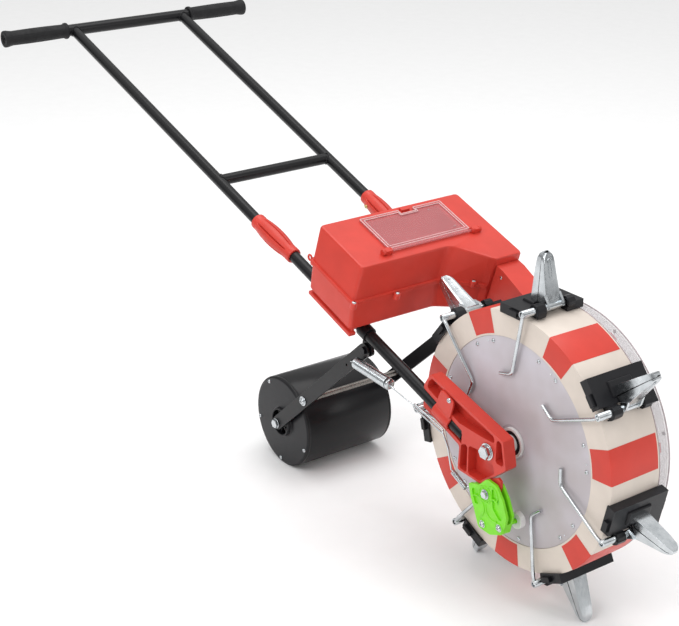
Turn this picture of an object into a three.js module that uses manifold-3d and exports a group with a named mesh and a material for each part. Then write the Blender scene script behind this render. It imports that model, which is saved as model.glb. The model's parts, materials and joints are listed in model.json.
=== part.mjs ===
// Hand-pushed garden spreader: a wheel with seven opening beaks plants seed
// from the hopper, and the smooth roller behind it closes the row.
// Millimetres. +X is the direction of travel, +Y the left side, +Z up.
// Shapes are drawn about the wheel's axle, and the whole is then set on the ground.
import * as THREE from "three";
import { mergeVertices } from "three/addons/utils/BufferGeometryUtils.js";
import Module from "manifold-3d";

const wasm = await Module();
wasm.setup();

// ---- driving dimensions ----
const GAP = 0.3;
const BEAK_COUNT = 7;
const STEP = 2 * Math.PI / BEAK_COUNT;
const DRUM_RADIUS = 200;
const DRUM_HALF = 47;
const TIP_RADIUS = 286;
const TIP_HALF = 1.7;
const AXLE_HEIGHT = TIP_RADIUS * Math.cos(STEP / 2) + TIP_HALF * Math.sin(STEP / 2);
const TUBE_RADIUS = 9.6;
const TUBE_WALL = 1.6;

const BAR = { x: -1222, z: 408.5, half: 265, radius: 11 };
const CROSSBAR_X = -697.5;
const UPPER_SLOPE = -0.3327;
const UPPER_TOE_IN = -0.0101;
const UPPER_HALF_SPACING = 119.7;
const UPPER_END_X = -528;
const LOWER_TOP = { x: -521, y: 110.8, z: 177.8 };
const LOWER_END = { x: -70, y: 87.1, z: 2.8 };
const TUBE_END_X = -60;
const TUBE_FIT = TUBE_RADIUS + 0.4;

const ROLLER = { x: -551.3, radius: 82, half: 89 };
ROLLER.z = ROLLER.radius - AXLE_HEIGHT;
const ARM_PIVOT = { x: -292, z: 56 };
const ARM_INNER_Y = 98;
const ARM_THICKNESS = 4;
const ARM_HALF_WIDTH = 12;
const TIE_ROD_SHARE = 0.67;

const HOPPER_ORIGIN = { x: -477, z: 160.7 };
const HOPPER_TILT = THREE.MathUtils.degToRad(18.45);
const HOPPER_WALL = 2.5;
const SEAM = 60;
const HOPPER_TOP = 115;

const BRACKET_OUTER_Y = 95;
const BRACKET_INNER_Y = 74.5;
const LUG = { outer: -95, inner: -90.8 };
const CAM_PIVOT = { x: 5, z: -66 };
const CAM_OUTER = -101;
const CAM_INNER = -86.3;
const CAM_CHEEK = 4.2;
const CAM_ROLLER_AT = { x: 35, z: -107, radius: 13 };

// ---- finishes ----
const finish = (color, roughness, metalness = 0) =>
  new THREE.MeshStandardMaterial({ color, roughness, metalness });
const RED = finish(0xd83a2c, 0.42);
const BLACK_PAINT = finish(0x232325, 0.38, 0.2);
const BLACK_PLASTIC = finish(0x26272a, 0.5);
const RUBBER = finish(0x202022, 0.75);
const ZINC = finish(0xc9d0d4, 0.28, 0.95);
const BEIGE = finish(0xd8cdc2, 0.5);
const PLATE_GREY = finish(0xc4bcbc, 0.42, 0.35);
const WHITE = finish(0xe8e6e2, 0.5);
const GREEN = finish(0x74dd1c, 0.4);
const CLEAR = new THREE.MeshStandardMaterial({
  color: 0xe8eef0, roughness: 0.08, transparent: true, opacity: 0.3,
});

// ---- shape tools ----
function signedVolume(geometry) {
  const position = geometry.attributes.position;
  const index = geometry.index;
  const count = index ? index.count : position.count;
  const corners = [new THREE.Vector3(), new THREE.Vector3(), new THREE.Vector3()];
  let volume = 0;
  for (let i = 0; i < count; i += 3) {
    corners.forEach((corner, k) => {
      corner.fromBufferAttribute(position, index ? index.getX(i + k) : i + k);
    });
    volume += corners[0].dot(corners[1].cross(corners[2])) / 6;
  }
  return volume;
}

// one closed surface with shared corners and its faces pointing out
function closed(geometry) {
  const bare = geometry.clone();
  for (const name of Object.keys(bare.attributes)) {
    if (name !== "position") bare.deleteAttribute(name);
  }
  const merged = mergeVertices(bare, 1e-4);
  const order = Array.from(merged.index.array);
  const kept = [];
  for (let i = 0; i < order.length; i += 3) {
    const [a, b, c] = order.slice(i, i + 3);
    if (a !== b && b !== c && c !== a) kept.push(a, b, c);
  }
  merged.setIndex(kept);
  if (signedVolume(merged) < 0) {
    for (let i = 0; i < kept.length; i += 3) [kept[i], kept[i + 1]] = [kept[i + 1], kept[i]];
    merged.setIndex(kept);
  }
  return merged;
}

function toSolid(geometry) {
  const shape = closed(geometry);
  return new wasm.Manifold(new wasm.Mesh({
    numProp: 3,
    vertProperties: new Float32Array(shape.attributes.position.array),
    triVerts: new Uint32Array(shape.index.array),
  }));
}

function toGeometry(solid) {
  const data = solid.getMesh();
  const geometry = new THREE.BufferGeometry();
  geometry.setAttribute("position", new THREE.BufferAttribute(data.vertProperties, 3));
  geometry.setIndex(new THREE.BufferAttribute(data.triVerts, 1));
  return geometry;
}

const join = (...parts) => toGeometry(parts.map(toSolid).reduce((sum, part) => sum.add(part)));
const cut = (body, ...tools) =>
  toGeometry(tools.map(toSolid).reduce((rest, tool) => rest.subtract(tool), toSolid(body)));
const overlap = (body, tool) => toGeometry(toSolid(body).intersect(toSolid(tool)));

function mirrored(geometry) {
  return closed(geometry.clone().scale(1, -1, 1));
}

const at = (x, y, z) => new THREE.Vector3(x, y, z);

// turns a shape built along +Y so that it runs from one point towards another
function aimed(geometry, start, end) {
  const direction = end.clone().sub(start).normalize();
  const turn = new THREE.Quaternion().setFromUnitVectors(at(0, 1, 0), direction);
  return geometry.applyQuaternion(turn).translate(start.x, start.y, start.z);
}

function rod(radius, start, end, segments = 16) {
  const length = start.distanceTo(end);
  const shape = new THREE.CylinderGeometry(radius, radius, length, segments);
  return aimed(shape.translate(0, length / 2, 0), start, end);
}

// a turned shape; profile pairs are radius and distance along the line
function turned(profile, start, end, segments = 24) {
  const points = [...profile, profile[0]].map(([r, s]) => new THREE.Vector2(r, s));
  return aimed(closed(new THREE.LatheGeometry(points, segments)), start, end);
}

function pipe(outer, inner, start, end, segments = 16) {
  const length = start.distanceTo(end);
  return turned([[inner, 0], [outer, 0], [outer, length], [inner, length]], start, end, segments);
}

function box(x0, x1, y0, y1, z0, z1) {
  const shape = new THREE.BoxGeometry(x1 - x0, y1 - y0, z1 - z0);
  return shape.translate((x0 + x1) / 2, (y0 + y1) / 2, (z0 + z1) / 2);
}

// a side outline of x, z pairs, given thickness from y0 to y1
function plate(outline, y0, y1, holes = []) {
  const edge = outline.map(([x, z]) => new THREE.Vector2(x, z));
  if (THREE.ShapeUtils.isClockWise(edge)) edge.reverse();
  const shape = new THREE.Shape(edge);
  for (const { x, z, radius } of holes) {
    const corners = [];
    for (let i = 0; i < 8; i += 1) {
      const angle = -2 * Math.PI * i / 8;
      corners.push(new THREE.Vector2(x + radius * Math.cos(angle), z + radius * Math.sin(angle)));
    }
    shape.holes.push(new THREE.Path(corners));
  }
  const settings = { depth: y1 - y0, bevelEnabled: false };
  return new THREE.ExtrudeGeometry(shape, settings).rotateX(Math.PI / 2).translate(0, y1, 0);
}

// rounds each corner of an outline by its own radius, with a fixed number of points
function rounded(outline, radii, steps = 2) {
  const points = [];
  outline.forEach((corner, i) => {
    const here = new THREE.Vector2(...corner);
    const before = new THREE.Vector2(...outline.at(i - 1)).sub(here).normalize();
    const after = new THREE.Vector2(...outline[(i + 1) % outline.length]).sub(here).normalize();
    const radius = Array.isArray(radii) ? radii[i] : radii;
    const half = before.angleTo(after) / 2;
    const reach = radius / Math.tan(half);
    const curve = new THREE.QuadraticBezierCurve(
      here.clone().addScaledVector(before, reach), here, here.clone().addScaledVector(after, reach));
    points.push(...curve.getPoints(steps).map((point) => [point.x, point.y]));
  });
  return points;
}

// skins a stack of level outlines that all have the same number of points
function loft(levels) {
  const first = levels[0].outline.map(([x, y]) => new THREE.Vector2(x, y));
  if (THREE.ShapeUtils.isClockWise(first)) levels.forEach(({ outline }) => outline.reverse());
  const count = first.length;
  const positions = levels.flatMap(({ outline, z }) => outline.flatMap(([x, y]) => [x, y, z]));
  const faces = [];
  for (let level = 0; level + 1 < levels.length; level += 1) {
    for (let i = 0; i < count; i += 1) {
      const a = level * count + i;
      const b = level * count + (i + 1) % count;
      faces.push(a, b, b + count, a, b + count, a + count);
    }
  }
  [0, levels.length - 1].forEach((level) => {
    const flat = levels[level].outline.map(([x, y]) => new THREE.Vector2(x, y));
    const cap = THREE.ShapeUtils.triangulateShape(flat, []);
    for (const [a, b, c] of cap) {
      const base = level * count;
      faces.push(...(level === 0 ? [base + b, base + a, base + c] : [base + a, base + b, base + c]));
    }
  });
  const geometry = new THREE.BufferGeometry();
  geometry.setAttribute("position", new THREE.Float32BufferAttribute(positions, 3));
  geometry.setIndex(faces);
  return closed(geometry);
}

// a bent round bar through a list of points
function bentBar(radius, points, bend, sides = 8) {
  const path = new THREE.CurvePath();
  let from = points[0];
  for (let i = 1; i < points.length - 1; i += 1) {
    const corner = points[i];
    const back = from.clone().sub(corner).setLength(bend).add(corner);
    const ahead = points[i + 1].clone().sub(corner).setLength(bend).add(corner);
    path.add(new THREE.LineCurve3(from, back));
    path.add(new THREE.QuadraticBezierCurve3(back, corner, ahead));
    from = ahead;
  }
  path.add(new THREE.LineCurve3(from, points.at(-1)));
  const section = new THREE.Shape();
  for (let i = 0; i < sides; i += 1) {
    const angle = 2 * Math.PI * i / sides;
    const point = [radius * Math.cos(angle), radius * Math.sin(angle)];
    if (i === 0) section.moveTo(...point);
    else section.lineTo(...point);
  }
  section.closePath();
  const steps = 4 * (points.length - 1);
  return new THREE.ExtrudeGeometry(section, { steps, extrudePath: path, bevelEnabled: false });
}

// ---- the assembly ----
const spreader = new THREE.Group();

function add(name, geometry, material, parent = spreader) {
  const mesh = new THREE.Mesh(geometry, material);
  mesh.name = name;
  parent.add(mesh);
  return mesh;
}

// right is the -Y side; the left piece is its mirror image
function addPair(name, geometry, material) {
  add(`${name}_right`, geometry, material);
  add(`${name}_left`, mirrored(geometry), material);
}

// ---- handle ----
const upperAt = (x) => at(
  x, -(UPPER_HALF_SPACING + UPPER_TOE_IN * (x - BAR.x)), BAR.z + UPPER_SLOPE * (x - BAR.x));
const lowerAt = (x) => {
  const share = (x - LOWER_TOP.x) / (LOWER_END.x - LOWER_TOP.x);
  return at(x, -THREE.MathUtils.lerp(LOWER_TOP.y, LOWER_END.y, share),
    THREE.MathUtils.lerp(LOWER_TOP.z, LOWER_END.z, share));
};

function addHandle() {
  const inner = BAR.radius - TUBE_WALL;
  const barEnd = BAR.half - 3.5;
  add("handle_bar", pipe(BAR.radius, inner, at(BAR.x, -barEnd, BAR.z), at(BAR.x, barEnd, BAR.z), 20),
    BLACK_PAINT);
  const gripLength = 131;
  const bore = BAR.radius + GAP;
  const grip = turned([
    [bore, 0], [15.4, 0], [15.4, 6], [13.2, 9], [13.8, 118], [15.4, 124], [15.4, gripLength],
    [5, gripLength], [5, gripLength - 3], [bore, gripLength - 3],
  ], at(BAR.x, -(BAR.half - gripLength), BAR.z), at(BAR.x, -BAR.half, BAR.z), 16);
  addPair("grip", grip, RUBBER);
  const tubeStart = BAR.x + (BAR.radius + GAP + 0.6);
  addPair("handle_tube",
    pipe(TUBE_RADIUS, TUBE_RADIUS - TUBE_WALL, upperAt(tubeStart), upperAt(UPPER_END_X)), BLACK_PAINT);
  const middle = upperAt(CROSSBAR_X);
  const reach = -middle.y - TUBE_RADIUS - GAP;
  add("handle_crossbar", pipe(TUBE_RADIUS, TUBE_RADIUS - TUBE_WALL,
    at(middle.x, -reach, middle.z), at(middle.x, reach, middle.z)), BLACK_PAINT);
}

// ---- lower frame ----
function addConnectors() {
  const top = upperAt(-577);
  const bottom = lowerAt(-475);
  const length = top.distanceTo(bottom);
  const body = turned([
    [0, 0], [13.2, 0], [13.4, 12], [14.8, 15], [16.6, 0.45 * length], [14.6, 0.82 * length],
    [13.2, length - 8], [12.8, length], [0, length],
  ], top, bottom, 14);
  const upperBore = rod(TUBE_FIT, upperAt(-600), upperAt(UPPER_END_X + 3));
  const lowerBore = rod(TUBE_FIT, lowerAt(LOWER_TOP.x - 3), lowerAt(-450));
  const link = rod(6, upperAt(UPPER_END_X - 5), lowerAt(LOWER_TOP.x + 5), 12);
  addPair("connector", cut(body, upperBore, lowerBore, link), RED);
}

function addLowerTubes() {
  const tube = pipe(TUBE_RADIUS, TUBE_RADIUS - TUBE_WALL, lowerAt(LOWER_TOP.x), lowerAt(TUBE_END_X));
  addPair("lower_tube", tube, BLACK_PAINT);
}

function addBrackets() {
  const outline = rounded([
    [-149, 13], [-148, 50], [-134, 72], [32, 28], [40, -14], [-14, -59], [-66, -57], [-63, -17], [-92, -6],
  ], [3, 5, 5, 5, 5, 4, 4, 5, 8]);
  const floor = -(BRACKET_INNER_Y + 4.5);
  const face = -(BRACKET_OUTER_Y + 1);
  const pockets = [
    [[-141, 48], [-137, 60], [-130, 66.5], [12, 28.8], [15, 18], [-16, 17.5], [-64, 19]],
    [[18.5, 27], [28.5, 24.5], [35.5, -11], [17.5, -11]],
    [[-42, -54.5], [-15.5, -55.5], [16, -30], [13, -16.5], [-10, -16.5], [-18, -6], [-42, -8]],
    [[-62, -53.5], [-45, -54.5], [-45, -8], [-59, -13]],
  ].map((pocket) => plate(rounded(pocket, 3, 1), face, floor));
  const lugOutline = rounded([[-10, -50], [30, -30], [31, -46], [17, -90], [-2, -92], [-10, -72]], 4, 1);
  const lug = plate(lugOutline, LUG.outer, LUG.inner);
  const boss = rod(14, at(0, -BRACKET_INNER_Y - 1, 0), at(0, -59, 0), 20);
  // the tube lies in a round channel whose near side is open
  const channel = rod(TUBE_FIT, lowerAt(-200), lowerAt(TUBE_END_X + 0.6), 20);
  const above = TUBE_FIT + 0.6;
  const [rear, front] = [lowerAt(-152), lowerAt(TUBE_END_X + 1.5)];
  const slot = plate([
    [rear.x, rear.z - above], [front.x, front.z - above],
    [front.x, front.z + above], [rear.x, rear.z + above],
  ], face, front.y);
  const axleHole = rod(6.4, at(0, -120, 0), at(0, -40, 0));
  const camHole = rod(4.3, at(CAM_PIVOT.x, -120, CAM_PIVOT.z), at(CAM_PIVOT.x, -60, CAM_PIVOT.z), 12);
  const slab = plate(outline, -BRACKET_OUTER_Y, -BRACKET_INNER_Y);
  const plain = cut(join(cut(slab, ...pockets), boss), channel, slot, axleHole);
  add("side_bracket_right", cut(join(plain, lug), camHole), RED);
  add("side_bracket_left", mirrored(plain), RED);

  const strapStart = lowerAt(-120);
  const strapEnd = lowerAt(-86);
  const outside = box(-200, 0, -130, -(BRACKET_OUTER_Y + GAP), -50, 120);
  const strap = overlap(rod(13.4, strapStart, strapEnd, 24), outside);
  const tabOutline = rounded([[-116, 29], [-104, 60], [-74, 49], [-84, 17]], 6, 2);
  const tab = plate(tabOutline, -(BRACKET_OUTER_Y + 3.4), -(BRACKET_OUTER_Y + GAP));
  const strapBore = rod(TUBE_FIT, lowerAt(-160), lowerAt(-50), 20);
  addPair("tube_clip", cut(join(strap, tab), strapBore), RED);
}

function hexagon(across, y0, y1) {
  const radius = across / Math.sqrt(3);
  return rod(radius, at(0, y0, 0), at(0, y1, 0), 6);
}

function addAxle() {
  const shank = rod(6, at(0, -104, 0), at(0, BRACKET_OUTER_Y + GAP + 1, 0));
  const head = hexagon(19, BRACKET_OUTER_Y + GAP, BRACKET_OUTER_Y + 8);
  add("axle_bolt", join(shank, head), ZINC);
  const washer = rod(12, at(0, -(BRACKET_OUTER_Y + GAP), 0), at(0, -(BRACKET_OUTER_Y + 2), 0), 20);
  const nut = hexagon(19, -(BRACKET_OUTER_Y + 1.5), -(BRACKET_OUTER_Y + 8));
  const bore = rod(6.3, at(0, -90, 0), at(0, -110, 0));
  add("axle_nut", cut(join(washer, nut), bore), ZINC);
}

// ---- hopper, drawn level about its own origin and then tilted ----
const hopper = new THREE.Group();
hopper.position.set(HOPPER_ORIGIN.x, 0, HOPPER_ORIGIN.z);
hopper.rotation.y = HOPPER_TILT;
const FAR_Y = 146;
const CHUTE_Y = 97;
const CHUTE_START = 246;

const between = (low, high, share) => THREE.MathUtils.lerp(low, high, share);

function hopperOutline(level, grow = 0) {
  const low = Math.min(1, Math.max(0, (level - 10) / (SEAM - 10)));
  const high = Math.min(1, Math.max(0, (level - SEAM) / (HOPPER_TOP - SEAM)));
  const rear = between(between(95, 88, low), 72, high) - grow;
  const front = between(between(210, 203, low), 190, high) + grow;
  const near = between(-142, -128, high) - grow;
  const far = FAR_Y + grow;
  const mouth = CHUTE_START + Math.min(grow, 0);
  const bend = between(22, 44, high) + grow * 0.4;
  return rounded([
    [rear, near], [front, near], [front, bend],
    [mouth - 8, 84 - grow], [mouth, 92 - grow],
    [mouth, far], [rear, far],
  ], [6, 6, 24, 3, 4, 5, 6], 3);
}

const hopperLoft = (...levels) =>
  loft(levels.map(([z, grow]) => ({ outline: hopperOutline(z, grow), z })));

// the same line as a tube of the frame, seen from the hopper's own axes
function inHopper(point) {
  hopper.updateMatrixWorld();
  return hopper.worldToLocal(point.clone());
}

function addHopper() {
  const lowerBody = hopperLoft([12, -2], [15, 0], [SEAM - GAP, 0]);
  const lowerLip = hopperLoft([SEAM - 4, 3], [SEAM - GAP, 3]);
  const lowerHollow = hopperLoft([15, -HOPPER_WALL - 1], [SEAM + 1, -HOPPER_WALL]);
  const saddles = [];
  for (const start of [118, 178]) {
    for (const side of [-1, 1]) {
      const middle = side * 102;
      saddles.push(box(start, start + 12, middle - 15, middle + 15, -8, 13));
    }
  }
  const bores = [-1, 1].map((side) => {
    const ends = [lowerAt(-420), lowerAt(-240)].map((point) => {
      return inHopper(at(point.x, -side * point.y, point.z));
    });
    return rod(TUBE_FIT, ...ends, 20);
  });
  const lowerDoor = box(CHUTE_START - 10, CHUTE_START + 5, CHUTE_Y + 6, FAR_Y - 8, 30, SEAM + 5);
  add("hopper_lower",
    cut(join(cut(join(lowerBody, lowerLip), lowerHollow), ...saddles), ...bores, lowerDoor), RED, hopper);

  const upperBody = hopperLoft([SEAM, 0], [HOPPER_TOP - 4, 0], [HOPPER_TOP - 1, -1.2], [HOPPER_TOP, -4]);
  const upperLip = hopperLoft([SEAM, 3], [SEAM + 3.5, 3]);
  const upperHollow = hopperLoft([SEAM - 1, -HOPPER_WALL], [HOPPER_TOP - HOPPER_WALL, -HOPPER_WALL]);
  const opening = box(93, 162, -54, 90, HOPPER_TOP - 8, HOPPER_TOP + 8);
  const upperDoor = box(CHUTE_START - 10, CHUTE_START + 5, CHUTE_Y + 6, FAR_Y - 8, SEAM - 5, 92);
  const knuckles = [[-74, -65], [101, 110]].map(([y0, y1]) => box(168, 178, y0, y1, HOPPER_TOP - 2, 123));
  const latch = box(80, 88, 20, 36, HOPPER_TOP - 1, 119);
  const pinBore = rod(2.4, at(173, -90, 119), at(173, 130, 119), 12);
  const shell = join(cut(join(upperBody, upperLip), upperHollow), latch, ...knuckles);
  add("hopper_upper", cut(shell, opening, upperDoor, pinBore), RED, hopper);
}

function addLid() {
  const base = HOPPER_TOP + GAP;
  const sheet = box(86, 167, -62, 98, base, base + 2);
  const rimOutside = box(86, 167, -62, 98, base, base + 3.6);
  const rimInside = box(91, 162, -57, 93, base + 1, base + 6);
  const notch = box(80, 95, 14, 42, base - 5, base + 9);
  const web = box(160, 173, -58, 94, base + 2, base + 4);
  const pin = rod(2, at(173, -72, 119), at(173, 108, 119), 12);
  add("hopper_lid", join(cut(join(sheet, cut(rimOutside, rimInside)), notch), web, pin), CLEAR, hopper);
}

// the closed duct that carries seed from the hopper to the wheel's open middle
function addChute() {
  const start = CHUTE_START + GAP;
  const outline = [
    [start, 26], [start, 101], [262, 101], [400, 78], [505, 66],
    [528, 58], [528, 40], [480, 37], [330, 30],
  ];
  const hollow = [
    [start + 2, 28.5], [start + 2, 98.5], [261, 98.5], [400, 75.5], [504, 63.5],
    [525.5, 56], [525.5, 42.5], [480, 39.5], [330, 32.5],
  ];
  const shell = cut(plate(outline, CHUTE_Y, FAR_Y - 4), plate(hollow, CHUTE_Y + HOPPER_WALL, FAR_Y - 6.5));
  const spout = box(482, 524, 66, CHUTE_Y + 1, 41, 63);
  const spoutBore = box(485, 521, 60, CHUTE_Y + 10, 44, 60);
  const door = box(start - 5, start + 5, CHUTE_Y + 6, FAR_Y - 10, 30, 92);
  add("seed_chute", cut(join(shell, spout), spoutBore, door), RED, hopper);
}

// ---- press roller and its arms ----
function addRollerArms() {
  const low = at(ROLLER.x, 0, ROLLER.z);
  const high = at(ARM_PIVOT.x, 0, ARM_PIVOT.z);
  const along = low.clone().sub(high).normalize();
  const angle = Math.atan2(along.z, along.x);
  const outline = [];
  for (const [centre, first] of [[low, angle - Math.PI / 2], [high, angle + Math.PI / 2]]) {
    for (let i = 0; i <= 4; i += 1) {
      const turn = first + Math.PI * i / 4;
      outline.push([centre.x + ARM_HALF_WIDTH * Math.cos(turn), centre.z + ARM_HALF_WIDTH * Math.sin(turn)]);
    }
  }
  const tie = high.clone().lerp(low, TIE_ROD_SHARE);
  const springHoles = [0.13, 0.18].map((share) => high.clone().lerp(low, share));
  const holes = [
    { x: low.x, z: low.z, radius: 5.4 }, { x: high.x, z: high.z, radius: 4.5 },
    ...springHoles.map((point) => ({ x: point.x, z: point.z, radius: 2.5 })),
  ];
  const outer = -(ARM_INNER_Y + ARM_THICKNESS);
  addPair("roller_arm", plate(outline, outer, -ARM_INNER_Y, holes), BLACK_PAINT);
  const reach = ARM_INNER_Y - GAP;
  add("tie_rod", rod(5, at(tie.x, -reach, tie.z), at(tie.x, reach, tie.z)), ZINC);
  const shaft = rod(5, at(low.x, outer - 5, low.z), at(low.x, -outer + 5, low.z), 12);
  const heads = [-1, 1].map((side) =>
    rod(9, at(low.x, side * (-outer + GAP), low.z), at(low.x, side * (-outer + 6), low.z), 6));
  const spacers = [-1, 1].map((side) =>
    rod(8, at(low.x, side * (ROLLER.half + 2.3), low.z), at(low.x, side * (ARM_INNER_Y - GAP), low.z), 12));
  add("roller_axle", join(shaft, ...heads, ...spacers), ZINC);
}

// clamped round the lower tube, with the pin that the roller arm swings on
function addHangers() {
  const clamp = rod(12.4, lowerAt(-299), lowerAt(-281), 16);
  const tongueOutline = [[-298, 89], [-281, 83], [-276, 52], [-288, 44], [-302, 48], [-303, 62]];
  const tongue = plate(rounded(tongueOutline, 4, 1), -97, -92);
  const pin = rod(4, at(ARM_PIVOT.x, -93, ARM_PIVOT.z), at(ARM_PIVOT.x, -105.5, ARM_PIVOT.z));
  const head = rod(7, at(ARM_PIVOT.x, -102.4, ARM_PIVOT.z), at(ARM_PIVOT.x, -106, ARM_PIVOT.z), 6);
  const bore = rod(TUBE_FIT, lowerAt(-320), lowerAt(-220), 20);
  addPair("arm_hanger", join(cut(join(clamp, tongue), bore), pin, head), BLACK_PLASTIC);
}

function addRoller() {
  const centre = (y) => at(ROLLER.x, y, ROLLER.z);
  const skin = ROLLER.radius - 1.6;
  add("roller_drum", pipe(ROLLER.radius, skin, centre(-ROLLER.half), centre(ROLLER.half), 40), BLACK_PAINT);
  const cap = turned([
    [5.4, 0], [12, 0], [12, 8], [22.5, 8], [22.5, -5.5], [25.5, -5.5], [26.5, 0],
    [skin - 2, 0], [skin - GAP, 1.5], [skin - GAP, 6], [29, 6], [29, 11], [5.4, 11],
  ], centre(-ROLLER.half - 1.5), centre(0), 32);
  add("roller_cap_right", cap, BLACK_PLASTIC);
  add("roller_cap_left", mirrored(cap), BLACK_PLASTIC);
}

// ---- planting wheel ----
const wheel = new THREE.Group();
// each station is drawn at the top of the wheel; two of the seven stand on the ground
const stationTurn = (i) => Math.PI - STEP / 2 - i * STEP;
const axis = [at(0, 0, 0), at(0, 1, 0)];

function addDrum() {
  const rim = turned([
    [160.6, -DRUM_HALF], [199.2, -DRUM_HALF], [DRUM_RADIUS, -46.2], [198.5, DRUM_HALF], [186, DRUM_HALF],
    [186, 44.5], [195.6, 44.5], [197, -44.5], [160.6, -44.5],
  ], ...axis, 56);
  const ports = [];
  for (let i = 0; i < BEAK_COUNT; i += 1) {
    ports.push(box(-13, 7, -13, 13, 185, 205).rotateY(stationTurn(i)));
  }
  add("wheel_rim", cut(rim, ...ports), BEIGE, wheel);
  const disc = [[23.5, -46.6], [160.3, -46.6], [160.3, -44.8], [23.5, -44.8]];
  add("side_plate", turned(disc, ...axis, 48), PLATE_GREY, wheel);
  add("clear_cover", turned([
    [195.8, 47.3], [198.2, 47.3], [193, 72.4], [191, 73.8], [74, 73.8], [74, 71.8], [190.6, 71.8],
  ], ...axis, 48), CLEAR, wheel);
  add("wheel_hub", turned([
    [6.6, -56.5], [13, -56.5], [13, -49], [19, -49], [23.2, -50.5], [23.2, -44.4],
    [30, -44.4], [30, -41], [13, -41], [13, 57], [6.6, 57],
  ], ...axis, 24), WHITE, wheel);
}

// a beak half is a tapered trough: its back, its open edge and its half width change with height
function trough(levels, wall) {
  return loft(levels.map(([z, back, edge, half]) => {
    const inside = back + Math.sign(edge - back) * wall;
    const lining = half - wall;
    const outline = [
      [back, -half], [edge, -half], [edge, -lining], [inside, -lining],
      [inside, lining], [edge, lining], [edge, half], [back, half],
    ];
    return { z, outline };
  }));
}

const HINGE = { x: 21, z: 210.5 };
const BASE_TOP = 211;
const BEAK_WALL = 1.8;

function beakBase() {
  const low = DRUM_RADIUS - 4;
  const slab = box(-33, 11, -52, 52, low, BASE_TOP);
  const wing = box(-33, 27, 21, 52, low, BASE_TOP);
  const tabs = [[-57, -51], [51, 57]].map(([y0, y1]) => box(-12, 6, y0, y1, 200.5, 208));
  const clip = rod(9.6, at(HINGE.x, -37, HINGE.z), at(HINGE.x, -22, HINGE.z), 10);
  const clipFoot = box(9, 24, -37, -22, 201, BASE_TOP);
  const barrel = rod(9.6, at(HINGE.x, 21, HINGE.z), at(HINGE.x, 34, HINGE.z), 10);
  const bore = rod(6.1, at(HINGE.x, -80, HINGE.z), at(HINGE.x, 30, HINGE.z), 10);
  const seedHole = box(-13, 7, -13, 13, 150, 230);
  const drum = rod(DRUM_RADIUS + GAP, at(0, -49, 0), at(0, 80, 0), 84);
  return cut(join(slab, wing, ...tabs, clip, clipFoot, barrel), bore, seedHole, drum);
}

function fixedBeak() {
  const flange = box(-17, 0.8, -18, 18, BASE_TOP + GAP, 213);
  const window = box(-10.5, 8, -12.5, 12.5, 205, 220);
  const horn = trough([
    [211.5, -12, 1.5, 14], [262, -8.4, 1.5, 11.2], [277, -6.6, 1.5, 9.6], [283, -4.8, 1.5, 7.2],
    [TIP_RADIUS, -TIP_HALF, 1.5, 4.2],
  ], BEAK_WALL);
  return join(cut(flange, window), horn);
}

function beakFlap() {
  const tube = rod(5.5, at(HINGE.x, -61, HINGE.z), at(HINGE.x, 28.5, HINGE.z), 10);
  const horn = trough([
    [212.6, 23, 3.2, 14.2], [260, 8, 2.4, 11], [275, 5.2, 2.1, 9.6], [280.5, 4.8, 2.1, 7.6],
    [283.4, 4.6, 2.1, 4.6],
  ], BEAK_WALL);
  const earOutline = [[12, 213], [27, 209], [25, 217], [17, 228]];
  const ears = [[-16, -12], [12, 16]].map(([y0, y1]) => plate(earOutline, y0, y1));
  const lever = bentBar(3, [at(HINGE.x, -58, HINGE.z), at(-3, -51.4, 109), at(-28, -51.4, 102)], 9, 6);
  return join(tube, horn, ...ears, lever);
}

function addStations() {
  const base = beakBase();
  const fixed = fixedBeak();
  const flap = beakFlap();
  for (let i = 0; i < BEAK_COUNT; i += 1) {
    const station = new THREE.Group();
    station.rotation.y = stationTurn(i);
    wheel.add(station);
    add(`beak_base_${i + 1}`, base, BLACK_PLASTIC, station);
    add(`fixed_beak_${i + 1}`, fixed, ZINC, station);
    add(`beak_flap_${i + 1}`, flap, ZINC, station);
  }
}

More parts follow.
